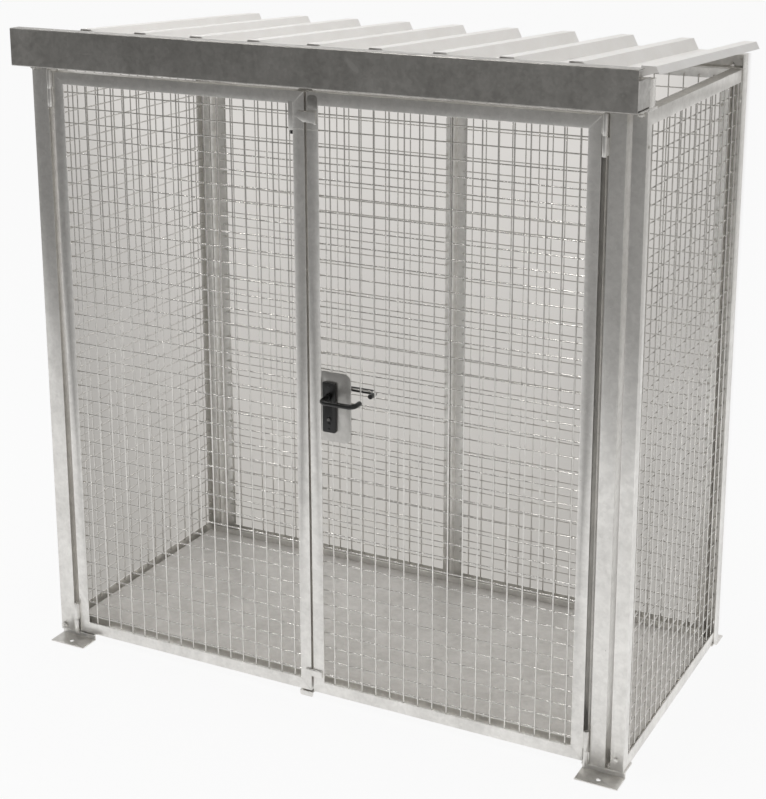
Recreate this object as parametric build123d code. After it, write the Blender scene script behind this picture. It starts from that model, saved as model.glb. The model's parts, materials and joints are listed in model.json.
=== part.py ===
from build123d import *
import math
import os

# A lockable wire-mesh store for gas cylinders: angle-steel frames filled with
# welded mesh, a twin-leaf front, a deep front fascia and a ribbed roof.
#
# Millimetres. +X right, +Y to the rear, +Z up. The origin is on the ground,
# under the centre of the frame that the four corners make.

# Driving dimensions
WIDTH = 2100.0          # over the side panels
DEPTH = 980.0           # over the front and rear frames
PLATE = 4.0             # angle legs, feet and brackets

FOOT_HEIGHT = 24.0      # ground to the underside of the posts
FOOT_WIDTH = 138.0
FOOT_REACH = 62.0       # how far a foot's flange stands out
FOOT_SETBACK = 8.0      # riser behind the frame's outer plane
FOOT_SEAT = 70.0        # depth of the flange under the posts
ANCHOR_HOLE_R = 7.0
ANCHOR_REACH = 36.0     # hole centre outside the frame

POST_LENGTH = 2006.0
TOP_PLATE = 8.0
TOP_PLATE_WIDTH = 114.0
TOP_PLATE_DEPTH = 70.0

SHORT_POST = 60.0       # post at a corner where the side panel is hidden
LONG_POST = 50.0        # post at a corner where the side panel shows beside it
POST_GROOVE = 16.0      # shadow gap between that post and the side panel
POST_LEG = 50.0         # depth of a post's return leg
POST_FLANGE = 83.0      # flange behind the hinge gap, on the right front post

PANEL_FACE = 40.0       # face of a panel's angle frame
PANEL_RETURN = 40.0     # depth of its return leg
SIDE_LEG = 42.0         # front-facing leg of a side panel
REAR_JOINT = 1.0        # half the line between the two rear panels

WIRE = 4.0              # wire thickness, across the flats
WIRE_PITCH = 50.0
WIRE_MARGIN = 20.0      # least room between a panel's frame and its first wire
WIRE_END = 30.0         # wire's end to the frame's outer edge
LEFT_MESH_SHIFT = 4.0   # how far a leaf's uprights stand to the right of its middle
RIGHT_MESH_SHIFT = 8.0

SILL = 40.0             # front sill and rear rail angles
FLOOR_SHEET = 3.0
FLOOR_FOLD = 16.0

DOOR_SIDE_GAP = 22.0    # post to leaf, where the hinges stand
DOOR_MIDDLE_GAP = 8.0
DOOR_FOOT_GAP = 6.0     # leaf's lower edge above the posts' foot
DOOR_HEAD_GAP = 18.0    # leaf's upper edge below the posts' top

HINGE_R = 8.0
PIN_R = 4.95
BORE_R = 5.0
HINGE_PROUD = 4.0       # hinge axis in front of the frame's plane
HINGE_SEAT_GAP = 0.3
HINGE_WEB = 6.0
HINGE_WEB_INSET = 4.0
HINGE_CAP = 6.0
PIN_LENGTH = 44.0
LOWER_HINGE = (0.0, 48.0, 112.0)    # ends and parting line above the posts' foot
UPPER_HINGE = (133.0, 74.0, 12.0)   # the same below the posts' top

FASCIA_RISE = 40.0      # fascia's top above the front roof beam
FASCIA_REACH = 100.0    # fascia face in front of the frame
FASCIA_BEND = 3.5
FASCIA_SHEET = 3.0
FASCIA_FLANGE = 45.0
FASCIA_LIP = 30.0
END_TAB_LOW = 8.0       # end tab above the fascia's lower edge
END_TAB_HIGH = 80.0

BEAM_DEPTH = 50.0       # front and rear roof beams
BEAM_WALL = 4.0
FRONT_BEAM = 80.0       # height of the front roof beam
REAR_BEAM = 46.0

ROOF_SHEET = 1.5
RIB_PITCH = 207.0
RIB_CREST = 40.0
RIB_FLANK = 18.0
RIB_HEIGHT = 35.0
RIBS_PER_SHEET = 5
ROOF_FRONT = -15.0      # sheet's front edge from the frame's front plane
ROOF_REAR_OVERHANG = 20.0
ROOF_EDGE = 12.0        # flat strip beside the rib that covers the other sheet's lap
ROOF_LEFT_EDGE = 142.0  # flat strip left of the roof's first rib
LAST_FLANK = 0.6        # share of the last rib's outer flank that is there
ROOF_LAP_GAP = 1.0
ROOF_SEAT_GAP = 0.2
FIRST_RIB = 235.0       # first rib's middle from the left end

LOCK_HEIGHT = 1063.0    # lever axis above the ground
LOCK_INSET = 76.0       # lever axis from the middle of the doorway
LOCK_PLATE = (104.0, 228.0)
LOCK_PLATE_GAP = 2.0    # shadow line between the plate and the stile
LOCK_PLATE_CORNER = 26.0
LOCK_PLATE_LOW = 149.0  # plate's lower edge under the lever axis
LOCK_CASE = (24.0, 165.0)           # depth and height
LOCK_CASE_REACH = 32.0  # case's far side from the lever axis
LOCK_CASE_LOW = 114.0
MESH_CUT_CLEARANCE = 3.0
BACKPLATE = (46.0, 9.0, 164.0)
BACKPLATE_LOW = 118.0   # backplate's lower edge under the lever axis
BACKPLATE_CORNER = 5.0
LEVER_R = 7.5
LEVER_REACH = 56.0      # lever bar in front of the backplate
LEVER_LENGTH = 116.0    # spindle to the lever's returned end
LEVER_RETURN = 44.0
LEVER_BEND = 12.0       # length cut off each corner of the lever
SPINDLE_R = 9.5
SPINDLE_HUB = 12.0      # hub outside each backplate
SPINDLE_CLEARANCE = 0.4
PLATE_CUT = 60.0        # length of the spindle's cutter through a plate
CASE_CUT = 200.0        # and through the lock case

LUG_ROOT = 38.0         # closing lugs, right of the middle of the doorway
LUG = 6.0               # thickness
LUG_BEVEL = 3.0
LUG_CLEARANCE = 0.3
UPPER_LUG = (37.0, 37.0)
LOWER_LUG = (22.0, 24.0)
UPPER_LUG_DROP = 95.0   # lug's lower edge under the top of the leaf
LOWER_LUG_RISE = 56.0   # lug's lower edge over the foot of the leaf
STOP_WIDTH = 48.0
STOP_LAP = 26.0         # how far a stop laps the left leaf
STOP_LIP = 18.0         # how far the lower stop's lip hangs under the posts' foot
STOP_LIP_CORNER = 7.0
STOP_CLEARANCE = 5.0

# Places worked out from the sizes above
LEFT = -WIDTH / 2
RIGHT = WIDTH / 2
FRONT = -DEPTH / 2
REAR = DEPTH / 2
FRAME_TOP = FOOT_HEIGHT + POST_LENGTH
TOP_SEAT = FRAME_TOP + TOP_PLATE
FRONT_BEAM_TOP = TOP_SEAT + FRONT_BEAM
REAR_BEAM_TOP = FRAME_TOP + REAR_BEAM
FASCIA_TOP = FRONT_BEAM_TOP + FASCIA_RISE
DOOR_BOTTOM = FOOT_HEIGHT + DOOR_FOOT_GAP
DOOR_TOP = FRAME_TOP - DOOR_HEAD_GAP
SIDE_FACE = RIGHT - PLATE
LEFT_POST_EDGE = LEFT + SHORT_POST
RIGHT_POST_EDGE = SIDE_FACE - SIDE_LEG - POST_GROOVE - LONG_POST
SILL_Y = FRONT + POST_LEG + 2
LEFT_LEAF_EDGE = LEFT_POST_EDGE + DOOR_SIDE_GAP
RIGHT_LEAF_EDGE = RIGHT_POST_EDGE - DOOR_SIDE_GAP
MEETING = (LEFT_LEAF_EDGE + RIGHT_LEAF_EDGE) / 2
LEAF_WIDTH = MEETING - DOOR_MIDDLE_GAP / 2 - LEFT_LEAF_EDGE
LEFT_HINGE_X = LEFT_POST_EDGE + DOOR_SIDE_GAP / 2
RIGHT_HINGE_X = RIGHT_POST_EDGE - DOOR_SIDE_GAP / 2
HINGE_Y = FRONT - HINGE_PROUD
FASCIA_Y = FRONT - FASCIA_REACH
STOP_X = (MEETING - STOP_WIDTH, MEETING)
STOP_Y = FRONT + PANEL_RETURN + STOP_CLEARANCE


def block(x, y, z):
    """A box between two limits on each axis."""
    size = (x[1] - x[0], y[1] - y[0], z[1] - z[0])
    middle = (sum(x) / 2, sum(y) / 2, sum(z) / 2)
    return Pos(*middle) * Box(*size)


def turned(shape):
    """The same piece at the opposite corner: half a turn about the centre."""
    return Rot(0, 0, 180) * shape


def write(node, *solids):
    """Write one node, as a single solid or a group of like solids."""
    shape = solids[0] if len(solids) == 1 else Compound(children=list(solids))
    export_step(shape, f"parts/{node}.step")


# Feet, floor and posts

def foot(x0, x1):
    """A Z-shaped foot for a front corner: seat under the posts, riser, anchor flange."""
    riser = FRONT + FOOT_SETBACK
    seat = block((x0, x1), (FRONT, FRONT + FOOT_SEAT), (FOOT_HEIGHT - PLATE, FOOT_HEIGHT))
    upright = block((x0, x1), (riser, riser + PLATE), (0, FOOT_HEIGHT))
    flange = block((x0, x1), (FRONT - FOOT_REACH, riser + PLATE), (0, PLATE))
    hole = Pos((x0 + x1) / 2, FRONT - ANCHOR_REACH, 0) * Cylinder(ANCHOR_HOLE_R, 4 * PLATE)
    return seat + upright + flange - hole


def short_post():
    """An angle that wraps round the end of the side panel."""
    z = (FOOT_HEIGHT, FRAME_TOP)
    face = block((LEFT, LEFT_POST_EDGE), (FRONT, FRONT + PLATE), z)
    return face + block((LEFT, LEFT + PLATE), (FRONT, FRONT + POST_LEG), z)


def left_front_post():
    """The short post with a second leg, which closes the view past the left leaf."""
    x = (LEFT_POST_EDGE - PLATE, LEFT_POST_EDGE)
    return short_post() + block(x, (FRONT, FRONT + POST_LEG), (FOOT_HEIGHT, FRAME_TOP))


def long_post():
    """An angle set in from the corner, beside the side panel's own leg."""
    x1 = RIGHT_POST_EDGE + LONG_POST
    face = block((RIGHT_POST_EDGE, x1), (FRONT, FRONT + PLATE), (FOOT_HEIGHT, FRAME_TOP))
    leg = block((x1 - PLATE, x1), (FRONT, FRONT + POST_LEG), (FOOT_HEIGHT, FRAME_TOP))
    return face + leg


def right_front_post():
    """The long post with a flange at its back, which closes the view past the right leaf."""
    x1 = RIGHT_POST_EDGE + LONG_POST
    back = FRONT + POST_LEG
    return long_post() + block((x1 - POST_FLANGE, x1), (back - PLATE, back), (FOOT_HEIGHT, FRAME_TOP))


def top_plate(x0, x1):
    """End plate over a front corner, which carries the roof beam."""
    return block((x0, x1), (FRONT, FRONT + TOP_PLATE_DEPTH), (FRAME_TOP, TOP_SEAT))


def floor_tray():
    """Flat floor sheet with its edges folded down onto the bottom rails."""
    x1 = SIDE_FACE - PANEL_RETURN / 2
    y1 = -(SILL_Y + PLATE + 1)
    low = FOOT_HEIGHT + PLATE
    top = low + FLOOR_FOLD
    inner = block((FLOOR_SHEET - x1, x1 - FLOOR_SHEET), (FLOOR_SHEET - y1, y1 - FLOOR_SHEET),
                  (low - 1, top - FLOOR_SHEET))
    return block((-x1, x1), (-y1, y1), (low, top)) - inner


def cross_sill():
    """Angle between the side panels, over the feet behind the doors."""
    x = (PANEL_RETURN - SIDE_FACE, SIDE_FACE - PANEL_RETURN)
    upright = block(x, (SILL_Y, SILL_Y + PLATE), (FOOT_HEIGHT, FOOT_HEIGHT + SILL))
    ledge = block(x, (SILL_Y, SILL_Y + SILL), (FOOT_HEIGHT, FOOT_HEIGHT + PLATE))
    return upright + ledge


# Panels: angle frames and welded mesh

def ring(width, height, border, thickness):
    """A flat rectangular ring in the XZ plane, from y = 0 towards +Y."""
    section = Rectangle(width, height) - Rectangle(width - 2 * border, height - 2 * border)
    return Rot(90, 0, 0) * extrude(section, -thickness)


def angle_frame(width, height):
    """Frame of mitred angle, centred on X and Z: face at y = 0, returns behind it."""
    return ring(width, height, PANEL_FACE, PLATE) + ring(width, height, PLATE, PANEL_RETURN)


def wire(length):
    """One straight six-sided wire along Z, flat towards the frame."""
    return extrude(RegularPolygon(WIRE / 2, 6, major_radius=False), length / 2, both=True)


def wire_places(span):
    """Wire centres over a span, at the mesh pitch, the same at both ends."""
    count = int((span - 2 * WIRE_MARGIN) // WIRE_PITCH) + 1
    start = -(count - 1) * WIRE_PITCH / 2
    return [start + i * WIRE_PITCH for i in range(count)]


def upright_wires(width, height, shift):
    """The wires next to the frame, welded across its top and bottom rails."""
    y = PLATE + WIRE / 2
    upright = wire(height - 2 * WIRE_END)
    return [Pos(x + shift, y, 0) * upright for x in wire_places(width - 2 * PANEL_FACE)]


def cross_wires(width, height):
    """The wires behind the uprights, welded to every one of them."""
    y = PLATE + 1.5 * WIRE
    across = Rot(0, 90, 0) * wire(width - 2 * WIRE_END)
    return [Pos(0, y, z) * across for z in wire_places(height - 2 * PANEL_FACE)]


def pieces(wires, place, cut):
    """Wires in their place, each cut where it would meet the lock."""
    solids = []
    for one in wires:
        solids += (place * one - cut).solids() if cut else [place * one]
    return solids


def write_panel(name, place, width, height, shift=0, cut=None, extra=None):
    """One panel's frame and both layers of its mesh, in their place."""
    frame = place * angle_frame(width, height)
    write(f"{name}_frame", frame + extra if extra else frame)
    write(f"{name}_upright_wires", *pieces(upright_wires(width, height, shift), place, cut))
    write(f"{name}_cross_wires", *pieces(cross_wires(width, height), place, cut))


def side_leg():
    """The right side panel's front-facing leg."""
    x = (SIDE_FACE - SIDE_LEG, SIDE_FACE)
    return block(x, (FRONT, FRONT + PLATE), (FOOT_HEIGHT, FRAME_TOP))


# Roof

def fascia():
    """Deep folded front board: face, top and bottom flanges, rear lip and end tabs."""
    x = (LEFT, RIGHT)
    low = TOP_SEAT
    face = block(x, (FASCIA_Y, FASCIA_Y + FASCIA_SHEET), (low, FASCIA_TOP))
    crown = block(x, (FASCIA_Y, FASCIA_Y + FASCIA_FLANGE), (FASCIA_TOP - FASCIA_SHEET, FASCIA_TOP))
    under = block(x, (FASCIA_Y, FRONT), (low, low + FASCIA_SHEET))
    lip = block(x, (FRONT - FASCIA_SHEET, FRONT), (low, low + FASCIA_LIP))
    board = face + crown + under + lip
    bends = board.edges().filter_by(Axis.X).group_by(Axis.Y)[0]
    board = fillet(bends, FASCIA_BEND)
    for x0 in (LEFT, RIGHT - FASCIA_SHEET):
        z = (low + END_TAB_LOW, low + END_TAB_LOW + END_TAB_HIGH)
        board += block((x0, x0 + FASCIA_SHEET), (FASCIA_Y, FRONT), z)
    return board


def channel(x, y, z, wall):
    """A channel along X, open towards the inside of the store."""
    return block(x, y, z) - block(x, (y[0] + wall, y[1] + wall), (z[0] + wall, z[1] - wall))


def front_beam():
    x = (LEFT + PLATE, RIGHT - PLATE)
    return channel(x, (FRONT, FRONT + BEAM_DEPTH), (TOP_SEAT, FRONT_BEAM_TOP), BEAM_WALL)


def rear_beam():
    """Rear roof beam on the rear posts, lower than the front one for the fall."""
    x = (LEFT + PLATE, RIGHT - PLATE)
    return turned(channel(x, (FRONT, FRONT + BEAM_DEPTH), (FRAME_TOP, REAR_BEAM_TOP), BEAM_WALL))


def roof_outline(ribs, first, last):
    """Upper edge of the ribbed sheet, as X and Z pairs from left to right.

    With no strip after its last rib, the sheet ends part-way down that rib's flank.
    """
    line = []
    for i in range(ribs):
        middle = i * RIB_PITCH
        half = RIB_CREST / 2
        line += [(middle - half - RIB_FLANK, 0), (middle - half, RIB_HEIGHT)]
        line += [(middle + half, RIB_HEIGHT), (middle + half + RIB_FLANK, 0)]
    if last:
        end = [(line[-1][0] + last, 0)]
    else:
        foot_x, foot_z = line.pop()
        end = [(foot_x - (1 - LAST_FLANK) * RIB_FLANK, (1 - LAST_FLANK) * RIB_HEIGHT)]
    return [(line[0][0] - first, 0)] + line + end


def roof_sheet(x0, ribs, first, last):
    """A ribbed sheet that falls to the rear, over both roof beams."""
    top = roof_outline(ribs, first, last)
    edge = [(x, z + ROOF_SHEET) for x, z in top] + [(x, z) for x, z in reversed(top)]
    section = Plane.XZ * make_face(Polyline(*edge, close=True))
    run = DEPTH - ROOF_FRONT + ROOF_REAR_OVERHANG
    fall = math.atan2(FRONT_BEAM_TOP - REAR_BEAM_TOP, DEPTH - BEAM_DEPTH)
    sheet = extrude(section, -run)
    seat = FRONT_BEAM_TOP + ROOF_SEAT_GAP
    y = FRONT + BEAM_DEPTH / 2
    tilted = Rot(-math.degrees(fall), 0, 0) * Pos(0, ROOF_FRONT - BEAM_DEPTH / 2, 0) * sheet
    return Pos(x0, y, seat + BEAM_DEPTH / 2 * math.tan(fall)) * tilted


# Door furniture

def hinge_web(x, side, low, high):
    """Weld web from a knuckle to the post or the leaf beside it."""
    edge = x + side * DOOR_SIDE_GAP / 2
    y = (FRONT - HINGE_PROUD, FRONT - HINGE_PROUD + HINGE_WEB)
    return block((min(x, edge), max(x, edge)), y, (low + HINGE_WEB_INSET, high - HINGE_WEB_INSET))


def hinge_pin(x, low, part, side):
    """Fixed half of a lift-off hinge: knuckle, web and the pin."""
    barrel = Pos(x, HINGE_Y, (low + part) / 2) * Cylinder(HINGE_R, part - low)
    pin = Pos(x, HINGE_Y, part + PIN_LENGTH / 2) * Cylinder(PIN_R, PIN_LENGTH)
    return barrel + hinge_web(x, side, low, part) + pin


def hinge_sleeve(x, part, high, side):
    """Moving half: a capped knuckle with its bore, and its web."""
    low = part + HINGE_SEAT_GAP
    barrel = Pos(x, HINGE_Y, (low + high) / 2) * Cylinder(HINGE_R, high - low)
    bore = Pos(x, HINGE_Y, (low + high) / 2 - HINGE_CAP) * Cylinder(BORE_R, high - low)
    return barrel + hinge_web(x, side, low, high) - bore


def lock_plate(x0):
    """Plate beside the right leaf's stile, with rounded free corners."""
    width, height = LOCK_PLATE
    section = Pos(width / 2, height / 2) * Rectangle(width, height)
    outer = [v for v in section.vertices() if v.X > width / 2]
    plate = extrude(fillet(outer, LOCK_PLATE_CORNER), PLATE)
    return Pos(x0, FRONT + PLATE, LOCK_HEIGHT - LOCK_PLATE_LOW) * Rot(90, 0, 0) * plate


def lock_space(x, x0, gap):
    """The lock body's box, from x0 to its far side, with some room round it."""
    depth, height = LOCK_CASE
    z0 = LOCK_HEIGHT - LOCK_CASE_LOW
    return block((x0, x + LOCK_CASE_REACH + gap), (FRONT + PLATE, FRONT + PLATE + depth + gap),
                 (z0 - gap, z0 + height + gap))


def backplate(x, y):
    """Narrow handle plate with rounded corners."""
    width, depth, height = BACKPLATE
    z0 = LOCK_HEIGHT - BACKPLATE_LOW
    plate = block((x - width / 2, x + width / 2), (y, y + depth), (z0, z0 + height))
    return fillet(plate.edges().filter_by(Axis.Y), BACKPLATE_CORNER) - spindle_hole(x, y, PLATE_CUT)


def spindle_hole(x, y, depth):
    """Cutter for the spindle."""
    r = SPINDLE_R + SPINDLE_CLEARANCE
    return Pos(x, y, LOCK_HEIGHT) * Rot(90, 0, 0) * Cylinder(r, depth)


def closing_lug(z, outline):
    """Flat lug on the right leaf that laps the left one, from its outline about (MEETING, z)."""
    points = [(MEETING + px, z + pz) for px, pz in outline]
    lug = Pos(0, FRONT, 0) * extrude(Plane.XZ * make_face(Polyline(*points, close=True)), LUG)
    front = lug.edges().filter_by(Axis.X).group_by(Axis.Y)[0]
    lug = chamfer(front.sort_by(Axis.Z)[-1], LUG_BEVEL)
    nose = min(px for px, pz in outline)
    top = max(pz for px, pz in outline)
    return lug - block((MEETING + nose, MEETING), (FRONT - LUG_CLEARANCE, FRONT), (z, z + top))


def upper_lug():
    nose, height = UPPER_LUG
    outline = ((-nose, height * 0.58), (-nose / 2, height), (LUG_ROOT, height), (LUG_ROOT, 0),
               (-nose / 7, height * 0.1))
    return closing_lug(DOOR_TOP - UPPER_LUG_DROP, outline)


def lower_lug():
    nose, height = LOWER_LUG
    outline = ((-nose, 0), (-nose, height), (LUG_ROOT, height), (LUG_ROOT, 0))
    return closing_lug(DOOR_BOTTOM + LOWER_LUG_RISE, outline)


def upper_stop():
    """Tab under the roof beam that stops the left leaf from behind."""
    return block(STOP_X, (STOP_Y, STOP_Y + PLATE), (DOOR_TOP - STOP_LAP, TOP_SEAT))


def lower_stop():
    """Folded strip under the sill: lip in front, tab behind the left leaf."""
    under = FOOT_HEIGHT - PLATE
    lip = block(STOP_X, (FRONT, FRONT + PLATE), (FOOT_HEIGHT - STOP_LIP, FOOT_HEIGHT))
    lip = fillet(lip.edges().filter_by(Axis.Y).group_by(Axis.Z)[0], STOP_LIP_CORNER)
    flat = block(STOP_X, (FRONT, SILL_Y + SILL), (under, FOOT_HEIGHT))
    tab = block(STOP_X, (STOP_Y, STOP_Y + PLATE), (under, DOOR_BOTTOM + STOP_LAP))
    return lip + flat + tab


def lever(x):
    """Both lever handles on one spindle, each returned towards the door at its end.

    The corners are cut at 45 degrees.
    """
    outer = FRONT - BACKPLATE[1]
    inner = FRONT + PLATE + LOCK_CASE[0] + BACKPLATE[1]
    handle = Pos(x, (outer + inner) / 2, LOCK_HEIGHT) * Rot(90, 0, 0) * Cylinder(
        SPINDLE_R, inner - outer + 2 * SPINDLE_HUB)
    for y, out in ((outer, -1), (inner, 1)):
        bar = y + out * LEVER_REACH
        end = x + LEVER_LENGTH
        bend = out * LEVER_BEND
        path = Polyline((x, y, LOCK_HEIGHT), (x, bar - bend, LOCK_HEIGHT),
                        (x + LEVER_BEND, bar, LOCK_HEIGHT), (end - LEVER_BEND, bar, LOCK_HEIGHT),
                        (end, bar - bend, LOCK_HEIGHT),
                        (end, bar - out * LEVER_RETURN, LOCK_HEIGHT))
        section = Plane((x, y, LOCK_HEIGHT), z_dir=(0, out, 0)) * Circle(LEVER_R)
        handle += sweep(section, path=path, transition=Transition.RIGHT)
    return handle


# Write every node

os.makedirs("parts", exist_ok=True)

front_foot_left = foot(LEFT, LEFT + FOOT_WIDTH)
front_foot_right = foot(RIGHT - FOOT_WIDTH, RIGHT)
write("foot_front_left", front_foot_left)
write("foot_front_right", front_foot_right)
write("foot_rear_left", turned(front_foot_right))
write("foot_rear_right", turned(front_foot_left))

write("front_post_left", left_front_post())
write("front_post_right", right_front_post())
write("rear_post_left", turned(long_post()))
write("rear_post_right", turned(short_post()))
write("floor_tray", floor_tray())
write("front_sill", cross_sill())
write("rear_sill", turned(cross_sill()))
write("top_plate_left", top_plate(LEFT, LEFT + TOP_PLATE_WIDTH))
write("top_plate_right", top_plate(RIGHT - TOP_PLATE_WIDTH, RIGHT))

panel_middle = FOOT_HEIGHT + POST_LENGTH / 2
side_place = Pos(SIDE_FACE, -PLATE / 2, panel_middle) * Rot(0, 0, 90)
side_width = DEPTH - PLATE
write_panel("right_side", side_place, side_width, POST_LENGTH, extra=side_leg())
write_panel("left_side", turned(side_place), side_width, POST_LENGTH, extra=turned(side_leg()))

rear_left = (PLATE - RIGHT_POST_EDGE - LONG_POST, -MEETING - REAR_JOINT)
rear_right = (-MEETING + REAR_JOINT, SIDE_FACE - PANEL_RETURN)
for name, (x0, x1) in (("rear_left", rear_left), ("rear_right", rear_right)):
    place = Pos((x0 + x1) / 2, REAR - PLATE, panel_middle) * Rot(0, 0, 180)
    write_panel(name, place, x1 - x0, POST_LENGTH)

door_height = DOOR_TOP - DOOR_BOTTOM
door_middle = (DOOR_TOP + DOOR_BOTTOM) / 2
lock_x = MEETING + LOCK_INSET
left_leaf = Pos(LEFT_LEAF_EDGE + LEAF_WIDTH / 2, FRONT, door_middle)
right_leaf = Pos(RIGHT_LEAF_EDGE - LEAF_WIDTH / 2, FRONT, door_middle)
write_panel("left_door", left_leaf, LEAF_WIDTH, door_height, shift=LEFT_MESH_SHIFT)
write_panel("right_door", right_leaf, LEAF_WIDTH, door_height, shift=RIGHT_MESH_SHIFT,
            cut=lock_space(lock_x, MEETING, MESH_CUT_CLEARANCE))

low = [FOOT_HEIGHT + h for h in LOWER_HINGE]
high = [FRAME_TOP - h for h in UPPER_HINGE]
for name, x, side in (("left", LEFT_HINGE_X, -1), ("right", RIGHT_HINGE_X, 1)):
    write(f"{name}_hinge_pins", *[hinge_pin(x, h[0], h[1], side) for h in (low, high)])
    write(f"{name}_hinge_sleeves", *[hinge_sleeve(x, h[1], h[2], -side) for h in (low, high)])

write("front_fascia", fascia())
write("front_beam", front_beam())
write("rear_beam", rear_beam())
left_rib = LEFT + FIRST_RIB
right_rib = left_rib + RIBS_PER_SHEET * RIB_PITCH
valley = RIB_PITCH - RIB_CREST - 2 * RIB_FLANK
lap = valley - ROOF_EDGE - ROOF_LAP_GAP
write("roof_sheet_left", roof_sheet(left_rib, RIBS_PER_SHEET, ROOF_LEFT_EDGE, lap))
write("roof_sheet_right", roof_sheet(right_rib, RIBS_PER_SHEET, ROOF_EDGE, 0))

# Lock, closing lugs and door stops
stile = MEETING + DOOR_MIDDLE_GAP / 2
case = lock_space(lock_x, stile + PLATE, 0) - spindle_hole(lock_x, FRONT, CASE_CUT)
plate = lock_plate(stile + PANEL_FACE + LOCK_PLATE_GAP)
write("lock_plate", plate - spindle_hole(lock_x, FRONT, PLATE_CUT))
write("lock_case", case)
write("outer_handle_plate", backplate(lock_x, FRONT - BACKPLATE[1]))
write("inner_handle_plate", backplate(lock_x, FRONT + PLATE + LOCK_CASE[0]))
write("door_lever", lever(lock_x))
write("upper_closing_lug", upper_lug())
write("lower_closing_lug", lower_lug())
write("upper_door_stop", upper_stop())
write("lower_door_stop", lower_stop())
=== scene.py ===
# %% [markdown]
# # A lockable mesh store for gas cylinders
# The real object is a cage of galvanised steel angle, filled with welded wire mesh. It has two
# hinged doors with a black lever lock, a deep folded front board, and a ribbed pale roof.
# The solid model gives every piece its size and place. This lesson gives each piece the
# rounded edges, round wires, welds, bolts and finishes that a camera sees.

# %% Load the solid model
import json
import math
import random

import bmesh
import bpy
from mathutils import Euler, Matrix, Vector


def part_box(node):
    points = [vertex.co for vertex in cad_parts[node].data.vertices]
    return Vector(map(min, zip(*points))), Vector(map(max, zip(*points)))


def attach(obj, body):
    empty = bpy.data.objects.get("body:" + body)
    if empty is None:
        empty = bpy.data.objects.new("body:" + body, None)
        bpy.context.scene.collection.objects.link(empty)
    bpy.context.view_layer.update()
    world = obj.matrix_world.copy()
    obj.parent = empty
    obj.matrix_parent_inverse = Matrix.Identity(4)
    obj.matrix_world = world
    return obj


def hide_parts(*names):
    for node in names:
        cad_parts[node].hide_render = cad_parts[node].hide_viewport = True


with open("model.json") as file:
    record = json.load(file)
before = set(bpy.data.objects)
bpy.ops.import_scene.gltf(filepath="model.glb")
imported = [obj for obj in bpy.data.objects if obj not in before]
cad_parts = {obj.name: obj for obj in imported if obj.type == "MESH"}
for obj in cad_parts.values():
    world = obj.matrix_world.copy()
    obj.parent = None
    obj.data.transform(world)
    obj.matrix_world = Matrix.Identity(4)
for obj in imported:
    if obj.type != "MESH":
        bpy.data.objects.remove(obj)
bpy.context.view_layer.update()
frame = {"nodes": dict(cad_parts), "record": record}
nodes = frame["nodes"]
MM = 0.001

# %% [markdown]
# ## Small helpers for shaders
# Colours are written as the hex values that a paint chart or a screen shows. Blender wants linear
# light, so one function turns them. A second function adds one shader node, sets what it is told
# to set, and links its inputs. A third starts a material with what all of them need.

# %% Colour and shader helpers
def linear(hex_colour):
    """An sRGB hex colour as the linear values that shaders use."""
    channels = []
    for i in (1, 3, 5):
        v = int(hex_colour[i:i + 2], 16) / 255
        channels.append(v / 12.92 if v <= 0.04045 else ((v + 0.055) / 1.055) ** 2.4)
    return (*channels, 1.0)


def add(tree, kind, settings=None, **inputs):
    """Add one shader node, with its settings, colour stops, input values and links."""
    made = tree.nodes.new("ShaderNode" + kind)
    for name, value in (settings or {}).items():
        if name == "stops":
            band = made.color_ramp.elements
            while len(band) < len(value):
                band.new(0.5)
            for stop, (position, colour) in zip(band, value):
                stop.position, stop.color = position, linear(colour)
        else:
            setattr(made, name, value)
    for name, value in inputs.items():
        key = int(name[1:]) if name[0] == "i" and name[1:].isdigit() else name.replace("_", " ")
        if isinstance(value, bpy.types.NodeSocket):
            tree.links.new(value, made.inputs[key])
        else:
            made.inputs[key].default_value = value
    return made


def new_finish(name):
    """A material with its principled shader, and object coordinates in metres."""
    finish = bpy.data.materials.new(name)
    finish.use_nodes = True
    tree = finish.node_tree
    place = add(tree, "TexCoord").outputs["Object"]
    return finish, tree, tree.nodes["Principled BSDF"], place


print("zinc grey #D6D4D0 is", [round(v, 3) for v in linear("#D6D4D0")[:3]], "in linear light")

# %% [markdown]
# ## Hot-dip galvanised steel
# The angles and posts were dipped in molten zinc after welding. Zinc is a metal, and outdoors it
# grows a thin chalky bloom, so each finish is mostly metallic and its bloom is the share that is
# not. The IOR stays at its default. The skin is dull and cloudy: soft clouds some 120 mm across,
# where the bath drained, blotches of about 30 mm inside them, and crystals of about 10 mm, the
# spangle. The crystals change the roughness more than the colour, so they show mostly in
# reflections. A fine bump of 3 mm keeps long flat faces from looking like glass. Drawn wire is
# smoother than angle and has no bump, the lock's plates are duller, and the floor tray is
# chalky.

# %% The pattern of dipped zinc
CLOUD_SIZE = 120 * MM
BLOTCH_SIZE = 30 * MM
SPANGLE_SIZE = 10 * MM
DRAIN_STRETCH = 0.45


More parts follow.
